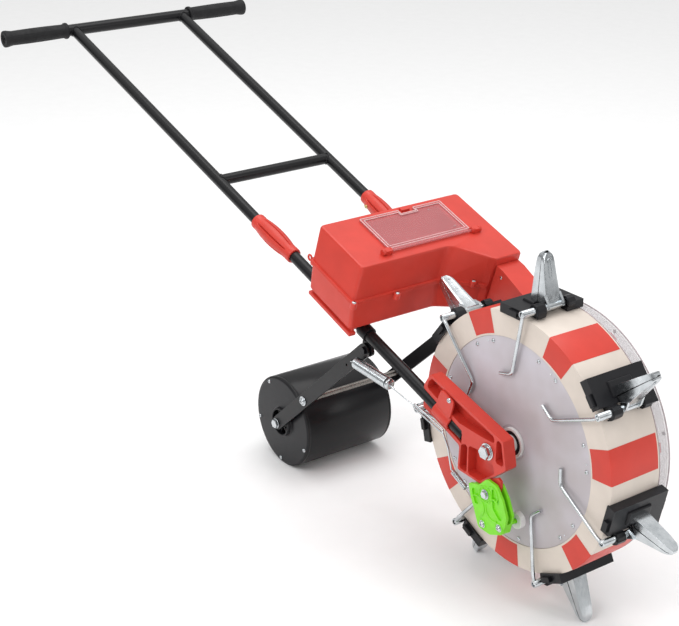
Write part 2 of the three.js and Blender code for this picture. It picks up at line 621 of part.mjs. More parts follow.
// ---- beak-opening cam and its pull linkage ----
function addCam() {
  const { x, z } = CAM_PIVOT;
  const outline = rounded([
    [-27, -84], [-33, -63], [-10, -57], [7, -40], [28, -42], [42, -60],
    [53, -85], [45, -115], [18, -127], [-8, -126], [-20, -98],
  ], [3, 4, 5, 8, 9, 8, 8, 8, 8, 8, 8]);
  // the inner cheek of the fork stays clear of the bracket as the arm swings
  const innerOutline = rounded([
    [-27, -84], [-31, -64], [-14, -62], [-7, -58], [5, -50], [18, -47], [28, -42], [42, -60], [53, -85],
    [45, -115], [18, -127], [-8, -126], [-20, -98],
  ], 3);
  const eye = [{ x, z, radius: 4.4 }];
  const outerCheek = plate(outline, CAM_OUTER, CAM_OUTER + CAM_CHEEK, eye);
  const innerCheek = plate(innerOutline, CAM_INNER - CAM_CHEEK + 0.2, CAM_INNER, eye);
  const heelRegion = box(-60, 80, CAM_OUTER, CAM_INNER, -140, -97);
  const heel = overlap(plate(outline, CAM_OUTER, CAM_INNER), heelRegion);
  const pocket = (points) => plate(rounded(points, 3, 1), -110, -98.4);
  const recesses = [
    [[18, -50], [28, -50], [44, -82], [40, -98], [22, -82]],
    [[-22, -80], [-26, -68], [-8, -64], [-6, -76], [-14, -96]],
  ].map(pocket);
  const onRoller = (y) => at(CAM_ROLLER_AT.x, y, CAM_ROLLER_AT.z);
  const stub = rod(3.6, onRoller(CAM_INNER - 2), onRoller(-57.5), 12);
  add("cam_arm", join(cut(join(outerCheek, innerCheek, heel), ...recesses), stub), GREEN);
  add("cam_roller", pipe(CAM_ROLLER_AT.radius, 4, onRoller(-67.9), onRoller(-58.5), 24), WHITE);
  const pin = rod(4, at(x, -105, z), at(x, CAM_INNER + 1.5, z), 12);
  const head = rod(7.5, at(x, -101.3, z), at(x, -105, z), 6);
  add("cam_pivot_bolt", join(pin, head), ZINC);
}

function addLinkage() {
  const springStart = at(-298, -112, 35);
  const springEnd = at(-216, -112, 31);
  const hookPoint = at(-325, -104, 26);
  const body = rod(9, springStart, springEnd, 14);
  const hooks = [
    rod(1.4, hookPoint, springStart.clone().lerp(springEnd, 0.05), 8),
    rod(1.4, springEnd.clone().lerp(springStart, 0.05), at(-204, -111, 27), 8),
  ];
  add("tension_spring", join(body, ...hooks), ZINC);
  const link = bentBar(1.5, [
    at(-201, -111, 26), at(-158, -104, 4), at(-96, -102, -14), at(-80, -99, -48), at(-77, -98, -60),
  ], 6, 6);
  add("pull_link", link, ZINC);
  add("cam_spring", rod(4.5, at(-76, -98, -62), at(-37, -98, -80), 12), ZINC);
}

addHandle();
addConnectors();
addLowerTubes();
addBrackets();
addAxle();
addHopper();
addLid();
addChute();
addRollerArms();
addHangers();
addRoller();
addDrum();
addStations();
addCam();
addLinkage();
spreader.add(hopper, wheel);

// stand it on the ground, with the origin under the middle of the whole
spreader.updateMatrixWorld(true);
const extent = new THREE.Box3().setFromObject(spreader, true);
const whole = new THREE.Group();
spreader.position.set(-(extent.min.x + extent.max.x) / 2, 0, -extent.min.z);
whole.add(spreader);
whole.updateMatrixWorld(true);

export default whole;
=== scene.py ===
"""Looks of the garden spreader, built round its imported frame.

Shapes are drawn in millimetres about the wheel's axle (+X forward, +Y left, +Z up),
and each piece is moved into the frame's own metres as it is made.
"""
import json
import math

import bmesh
import bpy
from mathutils import Matrix, Vector


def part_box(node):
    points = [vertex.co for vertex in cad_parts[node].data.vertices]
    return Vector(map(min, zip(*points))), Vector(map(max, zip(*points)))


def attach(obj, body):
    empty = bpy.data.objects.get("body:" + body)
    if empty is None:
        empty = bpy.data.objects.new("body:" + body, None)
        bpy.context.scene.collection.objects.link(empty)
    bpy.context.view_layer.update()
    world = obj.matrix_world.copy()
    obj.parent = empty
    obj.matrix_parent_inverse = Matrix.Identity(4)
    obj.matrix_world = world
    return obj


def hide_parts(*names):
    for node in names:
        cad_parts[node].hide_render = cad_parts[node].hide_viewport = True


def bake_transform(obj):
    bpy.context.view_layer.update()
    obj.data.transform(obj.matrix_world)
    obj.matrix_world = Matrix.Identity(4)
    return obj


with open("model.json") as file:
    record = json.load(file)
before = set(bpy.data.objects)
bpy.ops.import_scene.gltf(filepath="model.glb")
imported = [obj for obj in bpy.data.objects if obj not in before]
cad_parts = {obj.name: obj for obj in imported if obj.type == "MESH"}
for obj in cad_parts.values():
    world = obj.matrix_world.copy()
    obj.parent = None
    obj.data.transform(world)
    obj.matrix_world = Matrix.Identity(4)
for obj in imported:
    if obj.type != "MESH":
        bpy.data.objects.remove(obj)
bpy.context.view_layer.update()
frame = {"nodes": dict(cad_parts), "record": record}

# ---- where things are ----
MM = 0.001
PLATE_LOW, PLATE_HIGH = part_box("side_plate")
AXLE = Vector(((PLATE_LOW.x + PLATE_HIGH.x) / 2, 0, (PLATE_LOW.z + PLATE_HIGH.z) / 2))
TO_ROW = Matrix.Translation(AXLE) @ Matrix.Scale(MM, 4)
TO_DRAWN = TO_ROW.inverted()
SIDES = {"right": -1, "left": 1}

# wheel
BEAKS = 7
STEP = 2 * math.pi / BEAKS
DRUM_RADIUS = 200
DRUM_HALF = 47
PATCH_WIDTH = math.radians(15.06)
PATCH_SHIFT = math.radians(-0.9)
PLATE_FACE = -46.6
COVER_FACE = 73.8
HINGE_X = 21
HINGE_Z = 210.5
BEAK_LOW = 212.6
BEAK_HIGH = 284.4
BEAK_ROUND_FROM = 272
BEAK_WALL = 1.8

# handle and lower tubes
TUBE_RADIUS = 9.6
TUBE_BORE = 8
BAR = Vector((-1222, 0, 408.5))
BAR_RADIUS = 11
BAR_WALL = 1.6
BAR_HALF = 265
GRIP_LENGTH = 131
UPPER_HALF_SPREAD = 119.7
UPPER_TAPER = 0.0101
UPPER_FALL = 0.3327
CROSSBAR_X = -697.5
UPPER_END_X = -528
CONNECTOR_TOP_X = -577
CONNECTOR_END_X = -475
LOWER_TOP = Vector((-521, 110.8, 177.8))
LOWER_END = Vector((-70, 87.1, 2.8))
TUBE_END_X = -60
WELD_RADIUS = 1.7
AXLE_HEX = 18.6

# press roller and its arms
ARM_PIVOT = Vector((-292, 0, 56))
ROLLER = Vector((-551.3, 0, -176.4))
ROLLER_RADIUS = 82
ROLLER_HALF = 89
TIE_ROD_SHARE = 0.67
TIE_ROD_HALF = 97.7

# opening cam and its linkage
CAM_FACE = -100.6
CAM_PIVOT_X = 5
CAM_PIVOT_Z = -66
CAM_SCREWS = [(1, -117), (37, -107)]
ARM_HOOK = Vector((-325, -104, 26))
TENSION_REAR = Vector((-298, -112, 35))
TENSION_FRONT = Vector((-216, -112, 31))
WIRE_START = Vector((-201, -111, 26))
LINK_REAR = Vector((-158, -104, 12))
LINK_FRONT = Vector((-96, -102, -4))
CAM_SPRING_TOP = Vector((-76, -98, -62))
CAM_SPRING_FOOT = Vector((-37, -98, -80))

# hopper, drawn level and then tilted
HOPPER_ORIGIN = Vector((-477, 0, 160.7))
HOPPER_TILT = math.radians(18.45)
TO_HOPPER = Matrix.Translation(HOPPER_ORIGIN) @ Matrix.Rotation(HOPPER_TILT, 4, "Y")
SEAM = 60
SEAM_BOSSES = [(209, -145), (213.5, -66), (217, 30), (86, -40), (86, 60), (232, 72), (150, 150)]
CHUTE_SCREWS = [(262, 88), (300, 46), (430, 60)]
LID_FACE = 118.9

# stage and camera, in metres
FLOOR_HALF = 60
WORLD_STRENGTH = 0.95
HORIZON_GREY = 0.24
CAMERA_AT = Vector((1.91636, -1.36576, 1.26202))
CAMERA_DIRECTION = Vector((-0.75575, 0.53226, -0.38150))
CAMERA_ROLL = math.radians(-0.375)
CAMERA_LENS = 79.2

BODY_OF = {
    node: body
    for body, nodes in frame["record"]["behaviour"]["bodies"].items()
    for node in nodes
}
SLOT_OF = {part["node"]: part["material_slot"] for part in frame["record"]["subparts"]}


def upper_at(x, side):
    """The middle of an upper handle tube at x."""
    along = x - BAR.x
    return Vector((x, side * (UPPER_HALF_SPREAD - UPPER_TAPER * along), BAR.z - UPPER_FALL * along))


def lower_at(x, side):
    """The middle of a lower tube at x."""
    share = (x - LOWER_TOP.x) / (LOWER_END.x - LOWER_TOP.x)
    point = LOWER_TOP.lerp(LOWER_END, share)
    return Vector((point.x, side * point.y, point.z))


def station(i):
    """Turns a shape drawn at the top of the wheel to the place of beak i."""
    return Matrix.Rotation(math.pi - STEP / 2 - i * STEP, 4, "Y")


def patch_middle(i):
    """The angle of a red patch, halfway between two beaks."""
    return math.pi / 2 + STEP * (i - 0.5) + PATCH_SHIFT


# ---- materials ----
def mix_noise(tree, vector, scale, detail=3):
    noise = tree.nodes.new("ShaderNodeTexNoise")
    noise.inputs["Scale"].default_value = scale
    noise.inputs["Detail"].default_value = detail
    noise.inputs["Roughness"].default_value = 0.55
    tree.links.new(vector, noise.inputs["Vector"])
    return noise.outputs["Fac"]


def mapped(tree, value, low, high):
    """Spreads the middle of a noise over the range from low to high."""
    node = tree.nodes.new("ShaderNodeMapRange")
    node.inputs["From Min"].default_value = 0.3
    node.inputs["From Max"].default_value = 0.7
    node.inputs["To Min"].default_value = low
    node.inputs["To Max"].default_value = high
    tree.links.new(value, node.inputs["Value"])
    return node.outputs["Result"]


def finish(name, color, roughness, metallic=0.0, mottle=0.06, mottle_scale=22, spread=0.07,
           grain=0.12, grain_scale=900, grain_depth=0.00012, tint=None, specular=0.5):
    """A painted, moulded or plated surface: mottled colour, uneven gloss and a fine grain."""
    material = bpy.data.materials.new(name)
    material.use_nodes = True
    tree = material.node_tree
    shader = tree.nodes["Principled BSDF"]
    coordinates = tree.nodes.new("ShaderNodeTexCoord").outputs["Object"]
    broad = mix_noise(tree, coordinates, mottle_scale)
    colours = tree.nodes.new("ShaderNodeMix")
    colours.data_type = "RGBA"
    darker = [channel * (1 - mottle) for channel in color]
    lighter = list(tint) if tint else [min(1, channel * (1 + mottle)) for channel in color]
    colours.inputs["A"].default_value = (*darker, 1)
    colours.inputs["B"].default_value = (*lighter, 1)
    tree.links.new(mapped(tree, broad, 0, 1), colours.inputs["Factor"])
    tree.links.new(colours.outputs["Result"], shader.inputs["Base Color"])
    patchy = mix_noise(tree, coordinates, mottle_scale * 3.7, detail=5)
    gloss = mapped(tree, patchy, roughness - spread, roughness + spread)
    tree.links.new(gloss, shader.inputs["Roughness"])
    fine = mix_noise(tree, coordinates, grain_scale, detail=2)
    bump = tree.nodes.new("ShaderNodeBump")
    bump.inputs["Strength"].default_value = grain
    bump.inputs["Distance"].default_value = grain_depth
    tree.links.new(fine, bump.inputs["Height"])
    tree.links.new(bump.outputs["Normal"], shader.inputs["Normal"])
    shader.inputs["Metallic"].default_value = metallic
    shader.inputs["Specular IOR Level"].default_value = specular
    return material


def clear_finish(name, color, alpha):
    """Clear moulded plastic, faintly hazed and scuffed."""
    material = finish(name, color, 0.08, mottle=0.05, spread=0.04, grain=0.05, grain_scale=400)
    material.node_tree.nodes["Principled BSDF"].inputs["Alpha"].default_value = alpha
    return material


MATERIALS = {
    "red_plastic": finish("red_plastic", (0.60, 0.048, 0.032), 0.36, mottle=0.06, grain=0.18,
                          grain_scale=1100, grain_depth=0.00015, specular=0.35),
    "black_paint": finish("black_paint", (0.007, 0.007, 0.008), 0.30, mottle=0.08, spread=0.015,
                          grain=0.03, grain_scale=420, specular=0.27),
    "black_plastic": finish("black_plastic", (0.008, 0.008, 0.010), 0.34, mottle=0.08, spread=0.03,
                            grain=0.2, grain_scale=1400, grain_depth=0.00015, specular=0.28),
    "grip_rubber": finish("grip_rubber", (0.010, 0.010, 0.011), 0.62, mottle=0.2, spread=0.1,
                          grain=0.6, grain_scale=750, grain_depth=0.0004, specular=0.3),
    "zinc": finish("zinc", (0.52, 0.55, 0.57), 0.2, metallic=1.0, mottle=0.08, mottle_scale=55,
                   spread=0.05, grain=0.04, grain_scale=350, tint=(0.66, 0.69, 0.71)),
    "beige_plastic": finish("beige_plastic", (0.68, 0.60, 0.53), 0.42, mottle=0.05, grain=0.2,
                            grain_scale=1000),
    "grey_plate": finish("grey_plate", (0.49, 0.44, 0.45), 0.42, mottle=0.10, mottle_scale=9,
                         spread=0.08, grain=0.4, grain_scale=650, tint=(0.58, 0.55, 0.60)),
    "white_plastic": finish("white_plastic", (0.74, 0.73, 0.72), 0.4, mottle=0.04),
    "green_plastic": finish("green_plastic", (0.20, 0.72, 0.012), 0.36, mottle=0.08,
                            mottle_scale=60, grain=0.2, grain_scale=1200),
    "clear_plastic": clear_finish("clear_plastic", (0.60, 0.56, 0.58), 0.27),
}
BRASS = finish("passivated_bolt", (0.60, 0.48, 0.22), 0.3, metallic=1.0, mottle=0.15,
               mottle_scale=140)
BARE_STEEL = finish("bare_steel", (0.20, 0.185, 0.17), 0.3, metallic=1.0, mottle=0.15,
                    mottle_scale=70, grain=0.03, grain_scale=500)
TINTED_LID = clear_finish("tinted_lid", (0.70, 0.23, 0.24), 0.42)
CLEAR_EDGE = clear_finish("clear_edge", (0.60, 0.50, 0.52), 0.7)
LID_LINE = clear_finish("lid_line", (0.86, 0.62, 0.62), 0.75)


# ---- mesh tools ----
def about_y(radius, angle, y=0):
    """A point about the Y axis."""
    return Vector((radius * math.cos(angle), y, radius * math.sin(angle)))


def about_z(radius, angle, z=0):
    """A point about the Z axis."""
    return Vector((radius * math.cos(angle), radius * math.sin(angle), z))


def shape_of(verts, faces):
    bm = bmesh.new()
    made = [bm.verts.new(v) for v in verts]
    for face in faces:
        bm.faces.new([made[i] for i in face])
    return bm


def closed(verts, faces):
    """A closed shape whose faces all look outward."""
    bm = shape_of(verts, faces)
    bmesh.ops.recalc_face_normals(bm, faces=bm.faces)
    return bm


def bands(pairs, count):
    """The quads between pairs of rings that have count corners each."""
    faces = []
    for ring, after in pairs:
        for k in range(count):
            n = (k + 1) % count
            faces.append((ring * count + k, ring * count + n, after * count + n, after * count + k))
    return faces


def turned(profile, start, end, segments=64, wave=None):
    """Turns a closed profile of (radius, distance) about a line.

    wave(angle, distance) adds to the radius, where one is given.
    """
    start = Vector(start)
    turn = Vector((0, 0, 1)).rotation_difference(Vector(end) - start)
    verts = []
    for radius, distance in profile:
        for k in range(segments):
            angle = 2 * math.pi * k / segments
            swell = wave(angle, distance) if wave and radius > 0 else 0
            verts.append(start + turn @ about_z(radius + swell, angle, distance))
    pairs = []
    for ring, (radius, distance) in enumerate(profile):
        after = (ring + 1) % len(profile)
        if radius > 0 or profile[after][0] > 0:
            pairs.append((ring, after))
    bm = shape_of(verts, bands(pairs, segments))
    bmesh.ops.remove_doubles(bm, verts=bm.verts, dist=1e-4)
    bmesh.ops.dissolve_degenerate(bm, edges=bm.edges, dist=1e-5)
    bmesh.ops.recalc_face_normals(bm, faces=bm.faces)
    return bm


def rod(radius, start, end, segments=40, chamfer=0.6):
    """A round bar with chamfered ends."""
    length = (Vector(end) - Vector(start)).length
    profile = [(0, 0), (radius - chamfer, 0), (radius, chamfer), (radius, length - chamfer),
               (radius - chamfer, length), (0, length)]
    return turned(profile, start, end, segments)


def pipe(outer, inner, start, end, segments=48, chamfer=0.4):
    """A tube that is open at both ends."""
    length = (Vector(end) - Vector(start)).length
    profile = [(inner, 0), (outer - chamfer, 0), (outer, chamfer), (outer, length - chamfer),
               (outer - chamfer, length), (inner, length)]
    return turned(profile, start, end, segments)


def washer(radius, bore, thick, at, out, chamfer=0.4):
    """A flat washer, or a plain round head where the bore is zero."""
    profile = [(bore, 0), (radius - chamfer, 0), (radius, chamfer), (radius, thick - chamfer),
               (radius - chamfer, thick), (bore, thick)]
    return turned(profile, at, at + out)


def swept(points, radius, sides=12, loop=False):
    """A round wire along a list of points, closed at its ends unless it is a loop."""
    points = [Vector(p) for p in points]
    count = len(points)
    tangents = []
    for i in range(count):
        before = points[i - 1] if loop or i > 0 else points[i]
        after = points[(i + 1) % count] if loop or i < count - 1 else points[i]
        tangents.append((after - before).normalized())
    normal = tangents[0].orthogonal().normalized()
    verts = []
    for i in range(count):
        if i:
            normal = tangents[i - 1].rotation_difference(tangents[i]) @ normal
        normal = (normal - tangents[i] * normal.dot(tangents[i])).normalized()
        across = tangents[i].cross(normal)
        for k in range(sides):
            angle = 2 * math.pi * k / sides
            verts.append(points[i] + normal * radius * math.cos(angle)
                         + across * radius * math.sin(angle))
    faces = bands([(i, (i + 1) % count) for i in range(count if loop else count - 1)], sides)
    if not loop:
        faces.append(tuple(reversed(range(sides))))
        faces.append(tuple(range((count - 1) * sides, count * sides)))
    return closed(verts, faces)


def bent(points, bend, steps=8):
    """The points of a line whose corners are rounded."""
    points = [Vector(p) for p in points]
    route = [points[0]]
    for before, here, after in zip(points, points[1:], points[2:]):
        back = here + (before - here).normalized() * bend
        ahead = here + (after - here).normalized() * bend
        for k in range(steps + 1):
            t = k / steps
            route.append(back.lerp(here, t).lerp(here.lerp(ahead, t), t))
    route.append(points[-1])
    return route


def arc(centre, radius, first=0, last=360, steps=28):
    """The points of an arc seen from the side, in degrees; a whole turn closes on itself."""
    whole = last - first == 360
    route = []
    for k in range(steps if whole else steps + 1):
        angle = math.radians(first + (last - first) * k / steps)
        route.append(Vector(centre) + about_y(radius, angle))
    return route


def slab(outline, y0, y1):
    """A side outline of x, z pairs, given thickness from y0 to y1."""
    count = len(outline)
    verts = [(x, y, z) for y in (y0, y1) for x, z in outline]
    ends = [tuple(range(count)), tuple(reversed(range(count, 2 * count)))]
    return closed(verts, ends + bands([(0, 1)], count))


def level_slab(outline, z0, z1, spread):
    """A level outline of x, y pairs, given height from z0 to z1 and spread out at its foot."""
    count = len(outline)
    middle = Vector((sum(x for x, y in outline) / count, sum(y for x, y in outline) / count))
    verts = []
    for z, out in ((z0, spread), (z1, 0)):
        for x, y in outline:
            away = (Vector((x, y)) - middle).normalized() * out
            verts.append((x + away.x, y + away.y, z))
    ends = [tuple(reversed(range(count))), tuple(range(count, 2 * count))]
    return closed(verts, ends + bands([(0, 1)], count))


def brick(x0, x1, y0, y1, z0, z1):
    return slab([(x0, z0), (x1, z0), (x1, z1), (x0, z1)], y0, y1)


def screw(at, out, radius, height=None):
    """A round screw head with a cross recess, standing on a point and facing out."""
    at = Vector(at)
    turn = Vector((0, 0, 1)).rotation_difference(Vector(out).normalized())
    height = height or radius * 0.55
    segments = 24
    # Rings are shares of the radius and of the height: four of the dome, two of the cross.
    dome = [(1.0, 0.0), (1.0, 0.35), (0.86, 0.75), (0.66, 0.95)]
    rings = [[(share, up)] * segments for share, up in dome]
    cross_arm = {0: 0.5, 1: 0.42, 5: 0.42}
    cross_core = 0.14
    for up, narrowing in ((0.97, 1), (0.35, 0.8)):
        rings.append([(cross_arm.get(k % 6, cross_core) * narrowing, up) for k in range(segments)])
    verts = []
    for ring in rings:
        for k, (share, up) in enumerate(ring):
            angle = 2 * math.pi * k / segments
            verts.append(at + turn @ about_z(share * radius, angle, up * height))
    last = (len(rings) - 1) * segments
    faces = bands([(ring, ring + 1) for ring in range(len(rings) - 1)], segments)
    faces.append(tuple(range(last, last + segments)))
    faces.append(tuple(reversed(range(segments))))
    return closed(verts, faces)


def hexagon(across, at, out, height):
    """A bolt head or nut with chamfered corners."""
    at = Vector(at)
    turn = Vector((0, 0, 1)).rotation_difference(Vector(out).normalized())
    corner = across / math.sqrt(3)
    verts = []
    for share, up in ((1, 0), (1, height * 0.8), (0.88, height)):
        for k in range(6):
            verts.append(at + turn @ about_z(share * corner, math.pi * k / 3, up))
    ends = [tuple(reversed(range(6))), tuple(range(12, 18))]
    return closed(verts, ends + bands([(0, 1), (1, 2)], 6))


def together(*shapes):
    """Several closed shapes as one."""
    whole = bmesh.new()
    for shape in shapes:
        mesh = bpy.data.meshes.new("part")
        shape.to_mesh(mesh)
        shape.free()
        whole.from_mesh(mesh)
        bpy.data.meshes.remove(mesh)
    return whole


def moved(shape, matrix):
    bmesh.ops.transform(shape, matrix=matrix, verts=shape.verts)
    if matrix.to_3x3().determinant() < 0:
        bmesh.ops.reverse_faces(shape, faces=shape.faces)
    return shape


def mirrored(shape):
    return moved(shape, Matrix.Diagonal((1, -1, 1, 1)))


def for_side(shape, side):
    """Shapes are drawn on the right and mirrored for the left."""
    return shape if side == "right" else mirrored(shape)


def piece(name, shape, node, stands_for=(), material=None, crease=38, bevel=0.0, segments=2,
          body=None):
    """Makes a piece that rides with a node's body and takes its finish."""
    moved(shape, TO_ROW)
    mesh = bpy.data.meshes.new(name)
    shape.to_mesh(mesh)
    shape.free()
    made = bpy.data.objects.new(name, mesh)
    bpy.context.scene.collection.objects.link(made)
    mesh.materials.append(material or MATERIALS[SLOT_OF[node]])
    mesh.shade_smooth()
    mesh.set_sharp_from_angle(angle=math.radians(crease))
    if bevel:
        soften(made, bevel, crease, segments)
    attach(made, body or BODY_OF[node])
    if stands_for:
        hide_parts(*stands_for)
    return made


def soften(made, width, crease, segments):
    """Rounds the edges that are sharper than the crease angle."""
    modifier = made.modifiers.new("edges", "BEVEL")
    modifier.width = width * MM
    modifier.segments = segments
    modifier.limit_method = "ANGLE"
    modifier.angle_limit = math.radians(crease)
    modifier.use_clamp_overlap = True
    modifier.harden_normals = True
    weighting = made.modifiers.new("flats", "WEIGHTED_NORMAL")
    weighting.keep_sharp = True
    weighting.weight = 90


def node_shape(node):
    """A copy of a CAD node's mesh, in drawn millimetres, whose flat faces are whole again."""
    bm = bmesh.new()
    bm.from_mesh(frame["nodes"][node].data)
    moved(bm, TO_DRAWN)
    bmesh.ops.remove_doubles(bm, verts=bm.verts, dist=2e-3)
    bmesh.ops.dissolve_limit(bm, angle_limit=math.radians(0.8), verts=bm.verts, edges=bm.edges)
    bmesh.ops.recalc_face_normals(bm, faces=bm.faces)
    return bm


def softened(node, width, crease=34, segments=2, material=None):
    """A CAD node with its edges rounded as moulding or pressing leaves them."""
    return piece(node + "_shell", node_shape(node), node, [node], crease=crease, bevel=width,
                 segments=segments, material=material)


# ---- handle ----
def saddle_weld(bar_at, direction):
    """The weld bead where a tube meets the handle bar."""
    direction = Vector(direction).normalized()
    along_bar = Vector((0, 1, 0))
    across = along_bar.cross(direction).normalized()
    toe = TUBE_RADIUS * 1.02
    route = []
    steps = 48
    for k in range(steps):
        angle = 2 * math.pi * k / steps
        off_axis = TUBE_RADIUS * math.cos(angle)
        depth = math.sqrt(max(BAR_RADIUS ** 2 - off_axis ** 2, 0.2))
        ripple = 1 + 0.025 * math.sin(angle * 14)
        route.append(Vector(bar_at) + direction * depth * ripple + across * off_axis * 1.02
                     + along_bar * toe * math.sin(angle))
    return swept(route, WELD_RADIUS, 10, loop=True)


def crossbar_weld(joint, outward, direction):
    """The weld bead where the crossbar meets the inner side of an upper tube."""
    direction = direction.normalized()
    upward = Vector((-direction.z, 0, direction.x)).normalized()
    route = []
    steps = 48
    for k in range(steps):
        angle = 2 * math.pi * k / steps
        lift = TUBE_RADIUS * math.cos(angle)
        inward = math.sqrt(max(TUBE_RADIUS ** 2 - lift ** 2, 4))
        ripple = 0.3 + 0.3 * math.sin(angle * 15)
        route.append(joint - outward * (inward + ripple)
                     + direction * TUBE_RADIUS * math.sin(angle) + upward * lift)
    return swept(route, WELD_RADIUS, 10, loop=True)


def grip_ribs(angle, distance):
    """Twelve fine ribs along the middle of a hand grip."""
    on_body = 14 < distance < 112
    return 0.28 * max(0, math.cos(angle * 12)) ** 3 if on_body else 0


def grip_profile():
    """A hand grip from its inner collar to its end, as (radius, distance) from the inner end."""
    over_bar = BAR_RADIUS + 0.2
    profile = [(over_bar, 0), (14.6, 0), (15.3, 0.7), (15.6, 2.5), (15.3, 5), (14.2, 6.4),
               (13.3, 8.5), (13.2, 11)]
    steps = 12
    for k in range(steps + 1):
        share = k / steps
        swell = 0.6 * math.sin(math.pi * share) + 0.5 * share
        profile.append((13.2 + swell, 13 + 100 * share))
    profile += [(14.1, 117), (15.0, 121.5), (15.7, 125), (15.8, 128.5), (15.3, 130.4),
                (14.3, GRIP_LENGTH), (8.6, GRIP_LENGTH), (8.0, 130.5), (7.8, 128.8), (3.2, 128.4),
                (3.0, 128.0), (3.0, 127.4), (over_bar, 127.4)]
    return profile


def make_handle():
    """The handle bar with its grips, the two upper tubes and the crossbar between them."""
    end = Vector((0, BAR_HALF - 3.5, 0))
    bar = pipe(BAR_RADIUS, BAR_RADIUS - BAR_WALL, BAR - end, BAR + end, 56)
    piece("bar", bar, "handle_bar", ["handle_bar"])
    for side, sign in SIDES.items():
        outward = Vector((0, sign, 0))
        start = BAR + outward * (BAR_HALF - GRIP_LENGTH)
        grip = turned(grip_profile(), start, start + outward, 96, grip_ribs)
        piece(f"grip_{side}_sleeve", grip, f"grip_{side}", [f"grip_{side}"], crease=50)
        top = upper_at(BAR.x, sign)
        foot = upper_at(UPPER_END_X, sign)
        tube = pipe(TUBE_RADIUS, TUBE_BORE, upper_at(BAR.x + 5, sign), foot)
        piece(f"handle_tube_{side}_steel", tube, f"handle_tube_{side}", [f"handle_tube_{side}"])
        piece(f"bar_weld_{side}", saddle_weld(top, foot - top), f"handle_tube_{side}", crease=60)
        bead = crossbar_weld(upper_at(CROSSBAR_X, sign), outward, foot - top)
        piece(f"crossbar_weld_{side}", bead, "handle_crossbar", crease=60)
    into_tube = Vector((0, 5, 0))
    crossbar = pipe(TUBE_RADIUS, TUBE_BORE, upper_at(CROSSBAR_X, -1) + into_tube,
                    upper_at(CROSSBAR_X, 1) - into_tube)
    piece("crossbar", crossbar, "handle_crossbar", ["handle_crossbar"])


# ---- lower frame ----
def make_connector(side, sign):
    """A spindle-shaped moulding with long grooves between its two collars."""
    top = upper_at(CONNECTOR_TOP_X, sign)
    bottom = lower_at(CONNECTOR_END_X, sign)
    length = (bottom - top).length
    profile = [(9.7, 0), (12.6, 0), (13.3, 0.8), (13.5, 3), (13.5, 9.5), (13.2, 11), (13.6, 13)]
    steps = 18
    for k in range(steps + 1):
        share = k / steps
        swell = 3.2 * math.sin(math.pi * min(1, share * 1.06)) ** 0.8
        profile.append((13.7 + swell - 0.5 * share, 15 + (length - 30) * share))
    profile += [(13.0, length - 12), (13.3, length - 10), (13.3, length - 2), (12.8, length - 0.5),
                (12.2, length), (9.7, length)]

    def grooves(angle, distance):
        reach = min(distance - 12, length - 12 - distance) / 9
        depth = max(0, min(1, reach))
        return -3.4 * depth * max(0, math.cos(angle * 6)) ** 12

    body = turned(profile, top, bottom, 180, grooves)
    piece(f"connector_{side}_moulding", body, f"connector_{side}", [f"connector_{side}"], crease=28)
    inward = Vector((0.25, -sign, -0.35)).normalized()
    spot = top.lerp(bottom, 0.16)
    boss_top = spot + inward * 16.6
    boss = rod(5.2, spot + inward * 9, boss_top, 28, 0.7)
    piece(f"connector_boss_{side}", boss, f"connector_{side}")
    piece(f"connector_bolt_{side}", screw(boss_top, inward, 3.9), "axle_bolt", material=BRASS)


def make_lower_frame():
    """On each side: the connector, lower tube, bracket, tube clip and arm hanger."""
    for side, sign in SIDES.items():
        make_connector(side, sign)
        tube = pipe(TUBE_RADIUS, TUBE_BORE, lower_at(LOWER_TOP.x, sign), lower_at(TUBE_END_X, sign))
        piece(f"lower_tube_{side}_steel", tube, f"lower_tube_{side}", [f"lower_tube_{side}"])
        softened(f"side_bracket_{side}", 0.8)
        softened(f"tube_clip_{side}", 0.7)
        softened(f"arm_hanger_{side}", 0.5)
        clip_screw = screw((-84.5, -98.4, 48.9), (0, -1, 0), 4.2)
        piece(f"clip_screws_{side}", for_side(clip_screw, side), "axle_bolt")


def make_axle():
    """The bolt with its rolled thread, and the nut on its flat and split washers."""
    washer_at = (0, -95.3, 0)
    outward = (0, -100, 0)
    flat = [(6.4, 0), (12.5, 0), (13, 0.4), (13, 1.4), (12.5, 1.8), (6.4, 1.8)]
    split = [(7.6, 1.8), (10.6, 1.8), (10.2, 3.1), (7.6, 3.1)]
    nut = together(turned(flat, washer_at, outward), turned(split, washer_at, outward),
                   hexagon(AXLE_HEX, (0, -98.4, 0), (0, -1, 0), 6.4))
    piece("axle_nut_hex", nut, "axle_nut", ["axle_nut"], bevel=0.3, crease=30)
    ridges = [(5.3 + 0.35 * (k % 2), 0.6 * k) for k in range(8)]
    thread = [(0, 0)] + ridges + [(4.6, 5.2), (0, 5.2)]
    bolt = together(rod(5.9, (0, -99, 0), (0, 96.5, 0)),
                    turned(thread, (0, -99.2, 0), (0, -110, 0), 40),
                    hexagon(AXLE_HEX, (0, 95.3, 0), (0, 1, 0), 7.4))
    piece("axle_bolt_steel", bolt, "axle_bolt", ["axle_bolt"], bevel=0.3, crease=30)


# ---- hopper ----
def hopper_piece(name, shape, node, **kinds):
    """A piece drawn in the level frame of the hopper."""
    return piece(name, moved(shape, TO_HOPPER), node, **kinds)


